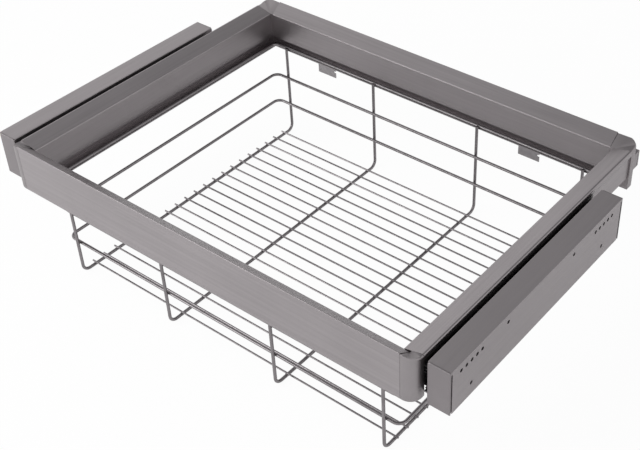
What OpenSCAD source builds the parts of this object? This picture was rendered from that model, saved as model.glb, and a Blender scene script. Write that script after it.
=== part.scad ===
// Pull out wire basket that hangs in a sliding frame between two cabinet side housings.
// Millimetres, +Z up, the front rail faces -Y, the basket's underside is at z = 0.

/* [Frame] */
// Width of the sliding frame over its side rails
frame_w = 596.4; // [500:0.1:900]
// Depth of the sliding frame over its front and back rails
frame_d = 447.8; // [420:0.1:520]
// Thickness of the front and back rails
end_rail_t = 17.7; // [16:0.1:20]
// Thickness of the side rails
side_rail_t = 25; // [23:0.1:28]
// Wall of the hollow rails
rail_wall = 1.6; // [1.2:0.1:2]
// Height of the ledge that carries the basket, above the basket's underside
ledge_z = 134.5; // [110:0.1:180]
// Height of the front and back rails' outer top edge above the ledge
ridge_rise = 58.2; // [54:0.1:64]
// Height of the side rails' outer top edge above the ledge
side_rise = 52; // [49:0.1:54]
// Reach of the lip on the side rails' top outer edge, over the slide
side_lip = 1.9; // [1.5:0.1:2.4]
// Height of the rails' inner top edge above the ledge
lip_rise = 45.4; // [44:0.1:47]
// Reach of the front and back rails' skirt below the ledge
skirt_drop = 5.3; // [4:0.1:8]
// Radius of the frame's front corners
front_corner_r = 14; // [11:0.1:15]
// Length that the front corner pieces take of the front rail
front_corner_w = 16.7; // [16.5:0.1:20]
// Radius of the frame's rear corners
rear_corner_r = 10; // [7:0.1:15]
// Length that the rear corner pieces take of the back rail
rear_corner_w = 28.9; // [28:0.1:34]

/* [Basket] */
// Diameter of the rim, the rings and the U-shaped wires
thick_wire = 4; // [3:0.1:5]
// Diameter of the cross wires
thin_wire = 2.3; // [1.8:0.1:3]
// Distance from one cross wire to the next
cross_pitch = 18; // [14:0.5:24]
// Distance of the upper ring below the rim, and of the lower ring below the upper ring
ring_step = 44.3; // [30:0.1:48]
// Distance of the inner U-shaped wires from the middle
inner_u_x = 84.7; // [50:0.1:110]
// Distance of the outer U-shaped wires from the ends of the rim wire's centre line
outer_u_inset = 24.4; // [18:0.1:40]
// Bend radius of the wires
wire_bend_r = 10; // [8:0.5:14]

/* [Slides] */
// Height of each ball slide
slide_h = 35.3; // [34:0.1:36.5]
// Thickness of each ball slide, from the side rail's face under its lip to the housing
slide_t = 8.5; // [8.4:0.1:10]
// Height of the slides' middle above the ledge
slide_rise = 19.4; // [18:0.1:21]
// Diameter of the slides' balls
ball_d = 2.4; // [2:0.1:2.6]
// Number of balls in each track
balls_per_track = 8; // [4:1:10]

/* [Housings] */
// Length of each side housing
housing_len = 334.2; // [300:0.1:380]
// Width of each side housing
housing_t = 27.2; // [22:0.1:34]
// Height of each side housing
housing_h = 58.3; // [54:0.1:64]
// Set-back of the housings behind the front rail's face
housing_setback = 12.3; // [10:0.1:20]
// Diameter of the fixing holes
hole_d = 4.6; // [4:0.1:5.5]
// Hole grid of the cabinet
hole_grid = 32; // [30:0.5:34]

/* [Hidden] */

$fn = 48;

rail_grey = [0.62, 0.62, 0.60];
cast_grey = [0.56, 0.56, 0.55];
wire_grey = [0.32, 0.32, 0.33];
slide_grey = [0.30, 0.30, 0.31];
steel_grey = [0.70, 0.71, 0.72];
rubber_black = [0.08, 0.08, 0.08];
pad_grey = [0.45, 0.45, 0.45];

// The rear pads stand out behind the frame, so the frame's middle lies in front of the origin.
pad_t = 4;
pad_w = 8;
pad_h = 23;
peg_len = 8;
pad_inset = 11.4;
pad_rise = 12.3;
mid_y = -(pad_t + peg_len) / 2;

half_w = frame_w / 2;
half_d = frame_d / 2;
pad_x = half_w - pad_inset;
fit = 0.15;
hole_play = 0.05;
weld = 0.05;

// Rail sections, measured inwards from the outer face and upwards from the ledge's top.
groove_rise = 9.6;
groove_depth = 7;
end_web = end_rail_t - groove_depth;
side_web = side_rail_t - groove_depth;
ledge_t = 1.6;
end_ledge_w = 4.7;
side_ledge_w = 9.7;
end_ledge_reach = end_rail_t + end_ledge_w;
side_ledge_reach = side_rail_t + side_ledge_w;
side_step = 11.2;
side_lip_h = 8;
side_step_rise = 11.9;
ledge_joint_y = half_d - end_ledge_reach;
spigot_len = 30;
tongue_len = 16;
spigot_rise = side_step_rise + rail_wall + fit;

// Basket: the rim lies on the ledge a hair clear of it, inside the rails.
rest_gap = 0.2;
rim_z = ledge_z + rest_gap + thick_wire / 2;
post_inset = 0.5;
rim_side_gap = 8.2;
rim_end_gap = 3.3;
rim_x = half_w - side_rail_t - rim_side_gap;
rim_y = half_d - end_rail_t - rim_end_gap;
post_y = rim_y - thick_wire + weld;
ring_inset = 4.7;
ring_x = rim_x - ring_inset;
ring_y = post_y - thick_wire + weld;
upper_ring_z = rim_z - ring_step;
lower_ring_z = upper_ring_z - ring_step;
floor_z = thick_wire / 2;
outer_u_x = rim_x - outer_u_inset;
cross_z = thick_wire + thin_wire / 2 - weld;
cross_overhang = 4.5;
cross_end_gap = 6;
cross_half_len = outer_u_x + cross_overhang;
cross_reach = post_y - wire_bend_r - cross_end_gap;
cross_half_count = floor(cross_reach / cross_pitch);

// Clips under the back rail's ledge.
clip_places = [-168.2, 161.8];
clip_w = 31;
clip_t = 1;
clip_drop = 11.5;
clip_foot = 14;
clip_rivet_inset = 8.1;
clip_rivet_y = ledge_joint_y + clip_rivet_inset;
clip_rivet_r = 1.6;
clip_head_r = 2.8;
clip_head_t = 0.8;
clip_notch = 3;

// Ball slides: u runs outwards from the side rail's face under its lip, v up from the slide's middle.
// They start right behind the front corner pieces.
member_t = 1.2;
middle_t = 1;
cage_t = 0.6;
cage_web_t = 0.4;
track_gap = 3;
slide_x = half_w - side_lip;
slide_z = ledge_z + slide_rise;
outer_v = slide_h / 2;
middle_v = outer_v - member_t - track_gap;
inner_v = middle_v - middle_t - track_gap;
outer_u0 = 2;
middle_u0 = 2.4;
middle_u1 = slide_t - 2;
inner_u1 = middle_u1 - 2;
outer_cage_u1 = slide_t - member_t - 0.2;
inner_cage_u1 = middle_u1 - middle_t - 0.3;
outer_ball_u = 4.9;
inner_ball_u = 3.6;
cage_flange = 2.2;
outer_ball_v = middle_v + track_gap / 2;
inner_ball_v = inner_v + track_gap / 2;
stop_len = 4;
stop_gap = 0.3;
slide_setback = end_rail_t - housing_setback + stop_gap;
slide_len = housing_len - slide_setback;
member_len = slide_len - stop_len - stop_gap;
cage_play = 6;
cage_end = 5;
cage_len = member_len / 2 - cage_play;
ball_pitch = (cage_len - 2 * cage_end) / (balls_per_track - 1);

// Housings and what is on them.
housing_x0 = slide_x + slide_t;
housing_x1 = housing_x0 + housing_t;
housing_y0 = -half_d + housing_setback;
housing_y1 = housing_y0 + housing_len;
slide_y0 = housing_y0 + slide_setback;
housing_drop = 7.7;
housing_z0 = ledge_z - housing_drop;
housing_wall = 1.6;
cap_t = 2;
cap_plug = 10;
front_hole_setback = 36.6;
upper_hole_rise = 48.2;
front_hole_y = housing_y0 + front_hole_setback;
upper_hole_z = housing_z0 + upper_hole_rise;
hole_row_step = 9;
access_r = 3.4;
seam_w = 2;
seam_below_top = 4;

// Screws and rivets of the slides.
screw_r = 1.95;
screw_hole_r = screw_r + hole_play;
member_hole_r = 2.2;
screw_head_r = 3.6;
screw_head_t = 1.8;
screw_len = 8;
screw_steps = [0.2, 0.5, 0.85];
rivet_r = 2;
rivet_hole_r = rivet_r + hole_play;
rivet_head_r = 3.5;
rivet_head_t = 1.2;
rivet_steps = [0.06, 0.38, 0.62, 0.94];

cage_mid_y = slide_y0 + (member_len + cage_play) / 2;

function end_top(d) = ridge_rise - (ridge_rise - lip_rise) * d / end_rail_t;
function side_top(d) = side_rise - (side_rise - lip_rise) * d / side_rail_t;
function end_slope() = sqrt(1 + pow((ridge_rise - lip_rise) / end_rail_t, 2));
function side_slope() = sqrt(1 + pow((side_rise - lip_rise) / side_rail_t, 2));

// Puts the frame's middle at its place behind or before the origin.
module placed() {
    translate([0, mid_y, 0]) children();
}

// side is 1 for the right hand and -1 for the left hand.
module on_side(side) {
    placed() mirror([side < 0 ? 1 : 0, 0, 0]) children();
}

// ---- rails -------------------------------------------------------------------------------

module end_rail_section() {
    difference() {
        polygon([
            [0, -skirt_drop], [0, ridge_rise], [end_rail_t, lip_rise], [end_rail_t, groove_rise],
            [end_web, groove_rise], [end_web, 0], [end_ledge_reach, 0],
            [end_ledge_reach, -ledge_t], [rail_wall, -ledge_t], [rail_wall, -skirt_drop]
        ]);
        polygon([
            [rail_wall, 0],
            [rail_wall, end_top(rail_wall) - rail_wall * end_slope()],
            [end_rail_t - rail_wall, end_top(end_rail_t - rail_wall) - rail_wall * end_slope()],
            [end_rail_t - rail_wall, groove_rise + rail_wall],
            [end_web - rail_wall, groove_rise + rail_wall],
            [end_web - rail_wall, 0]
        ]);
    }
}

module side_rail_section() {
    difference() {
        polygon([
            [side_lip, side_step_rise], [side_lip, side_rise - side_lip_h], [0, side_rise - side_lip_h],
            [0, side_rise], [side_rail_t, lip_rise], [side_rail_t, groove_rise],
            [side_web, groove_rise], [side_web, 0], [side_ledge_reach, 0],
            [side_ledge_reach, -ledge_t], [side_step + rail_wall, -ledge_t],
            [side_step + rail_wall, -skirt_drop], [side_step, -skirt_drop], [side_step, side_step_rise]
        ]);
        polygon([
            [side_lip + rail_wall, side_step_rise + rail_wall],
            [side_lip + rail_wall, side_top(side_lip + rail_wall) - rail_wall * side_slope()],
            [side_rail_t - rail_wall, side_top(side_rail_t - rail_wall) - rail_wall * side_slope()],
            [side_rail_t - rail_wall, groove_rise + rail_wall],
            [side_web - rail_wall, groove_rise + rail_wall],
            [side_web - rail_wall, 0],
            [side_step + rail_wall, 0],
            [side_step + rail_wall, side_step_rise + rail_wall]
        ]);
    }
}

// A rail along X between two places, its outer face at -Y.
module end_rail(x0, x1) {
    translate([x0, -half_d, ledge_z]) rotate([90, 0, 90]) linear_extrude(x1 - x0) end_rail_section();
}

module front_rail() {
    reach = half_w - front_corner_w;
    color(rail_grey) placed() end_rail(-reach, reach);
}

module back_rail() {
    reach = half_w - rear_corner_w;
    color(rail_grey) placed() difference() {
        mirror([0, 1, 0]) end_rail(-reach, reach);
        for (x = clip_places) {
            translate([x, clip_rivet_y, ledge_z - 5])
                cylinder(r = clip_rivet_r + hole_play, h = 8);
        }
    }
}

// The side rails' ledges and webs make room for the ends of the front and back rails' ledges.
module side_rail() {
    run = frame_d - 2 * end_rail_t;
    notch_run = half_d - end_rail_t - ledge_joint_y;
    difference() {
        translate([half_w, run / 2, ledge_z]) rotate([90, 0, 0]) linear_extrude(run)
            mirror([1, 0, 0]) side_rail_section();
        for (end = [-1, 1]) {
            translate([
                half_w - side_ledge_reach - 1,
                end > 0 ? ledge_joint_y : -ledge_joint_y - notch_run - 1,
                ledge_z - skirt_drop - 1
            ])
                cube([
                    side_ledge_reach + 1 - (end > 0 ? rear_corner_w : side_step + rail_wall),
                    notch_run + 1,
                    skirt_drop + 1 + groove_rise
                ]);
        }
        for (step = screw_steps) {
            translate([slide_x - rail_wall - 1, slide_y0 + step * member_len, slide_z])
                rotate([0, 90, 0]) cylinder(r = screw_hole_r, h = rail_wall + 2);
        }
    }
}

module left_rail() {
    color(rail_grey) on_side(-1) side_rail();
}

module right_rail() {
    color(rail_grey) on_side(1) side_rail();
}

// ---- corners -----------------------------------------------------------------------------

post_r = 0.5;
arc_steps = 8;

// An upright post, its top at the given height above the ledge.
module corner_post(x, y, rise) {
    translate([x, y, ledge_z - skirt_drop]) cylinder(r = post_r, h = rise + skirt_drop, $fn = 12);
}

// A corner block seen in plan: it runs w along X and the rail's thickness along Y, with its
// outer edge rounded by r. It lies in the quadrant +X, +Y.
module corner_block(w, r) {
    x0 = half_w - w;
    y0 = half_d - end_rail_t;
    hull() {
        corner_post(x0 + post_r, half_d - post_r, ridge_rise);
        corner_post(x0 + post_r, y0 + post_r, lip_rise);
        corner_post(max(half_w - side_rail_t, x0) + post_r, y0 + post_r, lip_rise);
        corner_post(half_w - post_r, y0 + post_r, side_rise);
        for (i = [0:arc_steps]) {
            a = 90 * i / arc_steps;
            corner_post(
                half_w - r + (r - post_r) * sin(a),
                half_d - r + (r - post_r) * cos(a),
                ridge_rise + (side_rise - ridge_rise) * i / arc_steps
            );
        }
    }
}

// Spigots that sit in the hollows of the two rails which meet at the corner.
module corner_spigots(w) {
    spigot_h = lip_rise - 3 - spigot_rise;
    side_x0 = max(half_w - w, half_w - side_rail_t + rail_wall) + fit;
    side_x1 = half_w - side_lip - rail_wall - fit;
    translate([half_w - w - spigot_len, half_d - end_rail_t + rail_wall + fit, ledge_z + spigot_rise])
        cube([spigot_len + 1, end_rail_t - 2 * rail_wall - 2 * fit, spigot_h]);
    translate([side_x0, half_d - end_rail_t - spigot_len, ledge_z + spigot_rise])
        cube([side_x1 - side_x0, spigot_len + 1, spigot_h]);
}

// The front corners also fill the end of the side rail's step with a tongue.
module front_corner() {
    mirror([0, 1, 0]) {
        corner_block(front_corner_w, front_corner_r);
        corner_spigots(front_corner_w);
        translate([half_w - side_step + fit, half_d - end_rail_t - tongue_len, ledge_z - skirt_drop])
            cube([side_step - side_lip - fit, tongue_len + 1, skirt_drop + side_step_rise - fit]);
    }
}

// The rear corners also carry a peg for the pad that meets the cabinet's back.
module back_corner() {
    corner_block(rear_corner_w, rear_corner_r);
    corner_spigots(rear_corner_w);
    translate([pad_x, half_d - end_rail_t / 2, ledge_z + pad_rise])
        cube([pad_w, end_rail_t / 2 + peg_len, pad_h]);
}

module front_left_corner() {
    color(cast_grey) on_side(-1) front_corner();
}

module front_right_corner() {
    color(cast_grey) on_side(1) front_corner();
}

module back_left_corner() {
    color(cast_grey) on_side(-1) back_corner();
}

module back_right_corner() {
    color(cast_grey) on_side(1) back_corner();
}

module rear_pads() {
    color(pad_grey) for (side = [-1, 1]) {
        on_side(side) translate([pad_x, half_d + peg_len, ledge_z + pad_rise]) cube([pad_w, pad_t, pad_h]);
    }
}

// ---- basket clips ------------------------------------------------------------------------

// A bent sheet: a foot under the ledge and a tab that hangs from its edge, notched on its right.
module basket_clips() {
    color(steel_grey) placed() for (x = clip_places) {
        difference() {
            translate([x - clip_w / 2, ledge_joint_y, ledge_z - ledge_t - clip_t - clip_drop]) {
                translate([0, 0, clip_drop]) cube([clip_w, clip_foot, clip_t]);
                cube([clip_w, clip_t, clip_drop + clip_t]);
            }
            translate([x, clip_rivet_y, ledge_z - 5])
                cylinder(r = clip_rivet_r + hole_play, h = 8);
            translate([
                x + clip_w / 2 - clip_notch,
                ledge_joint_y - 1,
                ledge_z - ledge_t - 2 * clip_t - clip_notch
            ])
                cube([clip_notch + 1, clip_t + 2, clip_notch]);
        }
    }
}

module clip_rivets() {
    under = ledge_z - ledge_t - clip_t;
    color(steel_grey) placed() for (x = clip_places) {
        translate([x, clip_rivet_y, 0]) {
            translate([0, 0, under - clip_head_t]) cylinder(r = clip_head_r, h = clip_head_t);
            translate([0, 0, under]) cylinder(r = clip_rivet_r, h = ledge_t + clip_t);
            translate([0, 0, ledge_z]) cylinder(r = clip_head_r, h = clip_head_t);
        }
    }
}

// ---- basket ------------------------------------------------------------------------------

// A quarter of a wire bend in the XY plane, from +X to +Y about the origin.
module wire_quarter(bend_r, d) {
    rotate_extrude(angle = 90) translate([bend_r, 0]) circle(d = d);
}

// A straight wire along X.
module wire_x(x0, x1, d) {
    translate([x0, 0, 0]) rotate([0, 90, 0]) cylinder(d = d, h = x1 - x0);
}

// A closed wire loop with rounded corners runs through x = +-hx and y = +-hy at height z.
// These are its four straight runs.
module loop_sides(hx, hy, z) {
    color(wire_grey) placed() translate([0, 0, z]) for (side = [-1, 1]) {
        translate([0, side * hy, 0]) wire_x(wire_bend_r - hx, hx - wire_bend_r, thick_wire);
        translate([side * hx, 0, 0]) rotate([0, 0, 90])
            wire_x(wire_bend_r - hy, hy - wire_bend_r, thick_wire);
    }
}

// These are its four bends.
module loop_bends(hx, hy, z) {
    color(wire_grey) placed() translate([0, 0, z]) for (turn = [0:3]) {
        flat = turn % 2 == 0 ? hx : hy;
        side = turn % 2 == 0 ? hy : hx;
        rotate([0, 0, 90 * turn]) translate([flat - wire_bend_r, side - wire_bend_r, 0])
            wire_quarter(wire_bend_r, thick_wire);
    }
}

// A wire that comes down from the rim, runs under the floor and goes up to the rim again.
module u_wire(x) {
    post_top = rim_z + thick_wire / 2 - post_inset;
    color(wire_grey) placed() translate([x, 0, 0]) {
        translate([0, 0, floor_z]) rotate([0, 0, 90])
            wire_x(wire_bend_r - post_y, post_y - wire_bend_r, thick_wire);
        for (end = [0, 1]) {
            mirror([0, end, 0]) {
                translate([0, post_y, floor_z + wire_bend_r])
                    cylinder(d = thick_wire, h = post_top - floor_z - wire_bend_r);
                translate([0, post_y - wire_bend_r, floor_z + wire_bend_r]) rotate([0, 90, 0])
                    wire_quarter(wire_bend_r, thick_wire);
            }
        }
    }
}

module cross_wires() {
    color(wire_grey) placed() for (i = [-cross_half_count:cross_half_count]) {
        translate([0, i * cross_pitch, cross_z]) wire_x(-cross_half_len, cross_half_len, thin_wire);
    }
}

// ---- ball slides -------------------------------------------------------------------------

// Turns a slide's section, drawn with u along X and v along Y, into a strip along +Y.
module slide_strip(y0, len) {
    translate([slide_x, y0 + len, slide_z]) rotate([90, 0, 0]) linear_extrude(len) children();
}

// A C section: a web at u1 - t, and two flanges back to u0, v high to each side.
module c_section(u0, u1, v, web_t, flange_t) {
    difference() {
        translate([u0, -v]) square([u1 - u0, 2 * v]);
        translate([u0 - 1, -v + flange_t]) square([u1 - u0 + 1 - web_t, 2 * (v - flange_t)]);
    }
}

module outer_member() {
    difference() {
        slide_strip(slide_y0, slide_len) c_section(outer_u0, slide_t, outer_v, member_t, member_t);
        for (step = rivet_steps) {
            translate([slide_x + slide_t - 2, slide_y0 + step * slide_len, slide_z])
                rotate([0, 90, 0]) cylinder(r = rivet_hole_r, h = 4);
        }
        for (i = [0, 8]) {
            translate([slide_x + slide_t - 2, front_hole_y + i * hole_grid, upper_hole_z - hole_grid])
                rotate([0, 90, 0]) cylinder(r = access_r, h = 4);
        }
    }
}

module middle_member() {
    slide_strip(slide_y0, member_len) c_section(middle_u0, middle_u1, middle_v, middle_t, middle_t);
}

module inner_member() {
    difference() {
        slide_strip(slide_y0, member_len) difference() {
            translate([0, -inner_v]) square([inner_u1, 2 * inner_v]);
            translate([member_t, middle_t - inner_v]) square([inner_u1, 2 * (inner_v - middle_t)]);
        }
        for (step = screw_steps) {
            translate([slide_x - 1, slide_y0 + step * member_len, slide_z])
                rotate([0, 90, 0]) cylinder(r = member_hole_r, h = 4);
        }
    }
}

// A cage is a C-shaped strip with a hole for each ball in its two flanges.
module cage(u0, u1, v) {
    difference() {
        slide_strip(cage_mid_y - cage_len / 2, cage_len)
            c_section(u0, u1, v + cage_t / 2, cage_web_t, cage_t);
        for (i = [0:balls_per_track - 1]) {
            translate([
                slide_x + u0 + cage_flange,
                cage_mid_y + (i - (balls_per_track - 1) / 2) * ball_pitch,
                slide_z - v - 2
            ])
                cylinder(d = ball_d + 2 * fit, h = 2 * v + 4);
        }
    }
}

module ball_rows(u, v) {
    for (i = [0:balls_per_track - 1]) {
        for (row = [-1, 1]) {
            translate([
                slide_x + u,
                cage_mid_y + (i - (balls_per_track - 1) / 2) * ball_pitch,
                slide_z + row * v
            ])
                sphere(d = ball_d);
        }
    }
}

module slide_screws() {
    for (step = screw_steps) {
        translate([slide_x + member_t, slide_y0 + step * member_len, slide_z]) rotate([0, 90, 0]) {
            cylinder(r = screw_head_r, h = screw_head_t);
            translate([0, 0, -screw_len]) cylinder(r = screw_r, h = screw_len);
        }
    }
}

module slide_rivets() {
    for (step = rivet_steps) {
        translate([slide_x + slide_t, slide_y0 + step * slide_len, slide_z]) rotate([0, 90, 0]) {
            translate([0, 0, -member_t]) cylinder(r = rivet_r, h = member_t + housing_wall);
            translate([0, 0, housing_wall]) cylinder(r = rivet_head_r, h = rivet_head_t);
        }
    }
}

module end_stop() {
    slide_strip(housing_y1 - stop_len, stop_len)
        translate([outer_u0, member_t - outer_v])
            square([slide_t - member_t - outer_u0, 2 * (outer_v - member_t)]);
}

module left_outer_member() {
    color(slide_grey) on_side(-1) outer_member();
}

module right_outer_member() {
    color(slide_grey) on_side(1) outer_member();
}

module left_middle_member() {
    color(slide_grey) on_side(-1) middle_member();
}

module right_middle_member() {
    color(slide_grey) on_side(1) middle_member();
}

module left_inner_member() {
    color(slide_grey) on_side(-1) inner_member();
}

module right_inner_member() {
    color(slide_grey) on_side(1) inner_member();
}

module left_outer_cage() {
    color(steel_grey) on_side(-1) cage(outer_ball_u - cage_flange, outer_cage_u1, outer_ball_v);
}

module right_outer_cage() {
    color(steel_grey) on_side(1) cage(outer_ball_u - cage_flange, outer_cage_u1, outer_ball_v);
}

module left_inner_cage() {
    color(steel_grey) on_side(-1) cage(inner_ball_u - cage_flange, inner_cage_u1, inner_ball_v);
}

module right_inner_cage() {
    color(steel_grey) on_side(1) cage(inner_ball_u - cage_flange, inner_cage_u1, inner_ball_v);
}

module left_outer_balls() {
    color(steel_grey) on_side(-1) ball_rows(outer_ball_u, outer_ball_v);
}

module right_outer_balls() {
    color(steel_grey) on_side(1) ball_rows(outer_ball_u, outer_ball_v);
}

module left_inner_balls() {
    color(steel_grey) on_side(-1) ball_rows(inner_ball_u, inner_ball_v);
}

module right_inner_balls() {
    color(steel_grey) on_side(1) ball_rows(inner_ball_u, inner_ball_v);
}

module left_rail_screws() {
    color(steel_grey) on_side(-1) slide_screws();
}

module right_rail_screws() {
    color(steel_grey) on_side(1) slide_screws();
}

module left_slide_rivets() {
    color(steel_grey) on_side(-1) slide_rivets();
}

module right_slide_rivets() {
    color(steel_grey) on_side(1) slide_rivets();
}

module left_end_stop() {
    color(rubber_black) on_side(-1) end_stop();
}

module right_end_stop() {
    color(rubber_black) on_side(1) end_stop();
}

// ---- housings ----------------------------------------------------------------------------

// Centres of the fixing holes, as distances along the housing and up from its underside.
module at_fixing_holes() {
    for (i = [0, 8]) {
        for (k = [-2:2]) {
            translate([0, front_hole_y + i * hole_grid + k * hole_row_step, upper_hole_z]) children();
        }
        translate([0, front_hole_y + i * hole_grid, upper_hole_z - hole_grid]) children();
    }
    for (i = [2, 6]) {
        translate([0, front_hole_y + i * hole_grid, upper_hole_z]) children();
    }
}

// A hollow tube. Its outer wall stands back from the caps by an open seam below the top.
module housing() {
    tube_y0 = housing_y0 + cap_t;
    tube_len = housing_len - 2 * cap_t;
    difference() {
        translate([housing_x0, tube_y0, housing_z0]) cube([housing_t, tube_len, housing_h]);
        translate([housing_x0 + housing_wall, tube_y0 - 1, housing_z0 + housing_wall])
            cube([housing_t - 2 * housing_wall, tube_len + 2, housing_h - 2 * housing_wall]);
        at_fixing_holes() {
            translate([housing_x1 - housing_wall - 1, 0, 0]) rotate([0, 90, 0])
                cylinder(d = hole_d, h = housing_wall + 2);
            translate([housing_x0 - 1, 0, 0]) rotate([0, 90, 0])
                cylinder(r = access_r, h = housing_wall + 2);
        }
        for (step = rivet_steps) {
            translate([housing_x0 - 1, slide_y0 + step * slide_len, slide_z])
                rotate([0, 90, 0]) cylinder(r = rivet_hole_r, h = housing_wall + 2);
        }
        for (y = [tube_y0 - 1, tube_y0 + tube_len - seam_w]) {
            translate([housing_x1 - housing_wall, y, housing_z0 - 1])
                cube([housing_wall + 1, seam_w + 1, housing_h - seam_below_top + 1]);
        }
    }
}

// A cap: a plate the size of the tube's end and a hollow plug that sits inside the tube.
module housing_cap() {
    plug_w = housing_t - 2 * housing_wall - 2 * fit;
    plug_h = housing_h - 2 * housing_wall - 2 * fit;
    cube([housing_t, cap_t, housing_h]);
    difference() {
        translate([housing_wall + fit, 0, housing_wall + fit]) cube([plug_w, cap_t + cap_plug, plug_h]);
        translate([2 * housing_wall + fit, cap_t, 2 * housing_wall + fit])
            cube([plug_w - 2 * housing_wall, cap_plug + 1, plug_h - 2 * housing_wall]);
    }
}

module front_cap() {
    translate([housing_x0, housing_y0, housing_z0]) housing_cap();
}

module rear_cap() {
    translate([housing_x0, housing_y1, housing_z0]) mirror([0, 1, 0]) housing_cap();
}

module left_housing() {
    color(rail_grey) on_side(-1) housing();
}

module right_housing() {
    color(rail_grey) on_side(1) housing();
}

module left_front_cap() {
    color(cast_grey) on_side(-1) front_cap();
}

module right_front_cap() {
    color(cast_grey) on_side(1) front_cap();
}

module left_rear_cap() {
    color(cast_grey) on_side(-1) rear_cap();
}

module right_rear_cap() {
    color(cast_grey) on_side(1) rear_cap();
}

front_rail();
back_rail();
left_rail();
right_rail();
front_left_corner();
front_right_corner();
back_left_corner();
back_right_corner();
rear_pads();
basket_clips();
clip_rivets();
left_inner_member();
right_inner_member();
left_rail_screws();
right_rail_screws();
loop_sides(rim_x, rim_y, rim_z);  // rim_sides
loop_bends(rim_x, rim_y, rim_z);  // rim_bends
loop_sides(ring_x, ring_y, upper_ring_z);  // upper_ring_sides
loop_bends(ring_x, ring_y, upper_ring_z);  // upper_ring_bends
loop_sides(ring_x, ring_y, lower_ring_z);  // lower_ring_sides
loop_bends(ring_x, ring_y, lower_ring_z);  // lower_ring_bends
u_wire(-outer_u_x);  // u_wire_left_end
u_wire(-inner_u_x);  // u_wire_left
u_wire(inner_u_x);  // u_wire_right
u_wire(outer_u_x);  // u_wire_right_end
cross_wires();
left_housing();
right_housing();
left_front_cap();
right_front_cap();
left_rear_cap();
right_rear_cap();
left_outer_member();
right_outer_member();
left_slide_rivets();
right_slide_rivets();
left_end_stop();
right_end_stop();
left_middle_member();
right_middle_member();
left_outer_cage();
right_outer_cage();
left_outer_balls();
right_outer_balls();
left_inner_cage();
right_inner_cage();
left_inner_balls();
right_inner_balls();
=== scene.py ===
import math
import bmesh
import bpy
from bpy.props import FloatProperty, FloatVectorProperty, IntProperty, PointerProperty
from mathutils import Matrix, Vector, noise


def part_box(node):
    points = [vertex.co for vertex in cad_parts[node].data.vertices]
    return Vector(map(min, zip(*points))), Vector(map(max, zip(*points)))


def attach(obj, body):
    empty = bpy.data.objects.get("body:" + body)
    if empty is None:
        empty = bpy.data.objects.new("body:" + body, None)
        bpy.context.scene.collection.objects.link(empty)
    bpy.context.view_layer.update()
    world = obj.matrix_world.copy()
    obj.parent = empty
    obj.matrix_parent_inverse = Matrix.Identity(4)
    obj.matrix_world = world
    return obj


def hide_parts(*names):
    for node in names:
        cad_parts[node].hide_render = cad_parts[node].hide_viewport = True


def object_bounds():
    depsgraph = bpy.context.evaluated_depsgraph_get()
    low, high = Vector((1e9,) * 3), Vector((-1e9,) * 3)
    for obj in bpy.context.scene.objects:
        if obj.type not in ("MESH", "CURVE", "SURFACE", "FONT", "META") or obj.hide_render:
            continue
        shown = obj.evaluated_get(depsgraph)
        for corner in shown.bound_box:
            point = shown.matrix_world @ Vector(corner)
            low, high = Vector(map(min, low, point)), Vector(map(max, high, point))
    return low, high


bl_info = {
    "name": "Pull Out Cabinet Basket",
    "version": (1, 0, 0),
    "blender": (4, 5, 0),
    "location": "3D View > Sidebar > Basket",
    "description": "Dresses the sliding frame, wire basket, ball slides and side housings",
    "category": "Object",
}

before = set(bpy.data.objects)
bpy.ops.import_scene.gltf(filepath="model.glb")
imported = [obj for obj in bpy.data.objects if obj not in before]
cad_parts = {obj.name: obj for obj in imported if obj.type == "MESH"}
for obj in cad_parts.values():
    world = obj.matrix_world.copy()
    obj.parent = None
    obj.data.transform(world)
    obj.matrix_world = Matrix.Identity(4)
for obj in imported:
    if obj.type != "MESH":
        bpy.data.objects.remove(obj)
CAD_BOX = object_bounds()
MM = 0.001
SIDES = ("left", "right")
U_WIRES = ("u_wire_left_end", "u_wire_left", "u_wire_right", "u_wire_right_end")


# ---- sizes and colours that a user would change ------------------------------------------------

class BasketView(bpy.types.PropertyGroup):
    """The camera, taken from the photograph's vanishing points."""
    place: FloatVectorProperty(
        name="Camera Place", description="Where the camera stands", subtype="XYZ", unit="LENGTH",
        default=(0.7583, -0.8471, 0.9871))
    azimuth: FloatProperty(
        name="Azimuth", description="Turn of the camera about Z, looking along +Y at zero",
        subtype="ANGLE", default=math.radians(36.63))
    elevation: FloatProperty(
        name="Elevation", description="How far the camera looks down", subtype="ANGLE",
        default=math.radians(37.66))
    sensor: FloatProperty(
        name="Sensor", description="Width of the sensor, in millimetres", default=36)
    lens: FloatProperty(
        name="Lens", description="Focal length for that sensor, in millimetres", default=65.73)
    shift_x: FloatProperty(
        name="Shift X", description="Sideways shift of the frame", default=-0.1477)
    shift_y: FloatProperty(
        name="Shift Y", description="Upward shift of the frame", default=-0.0523)


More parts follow.
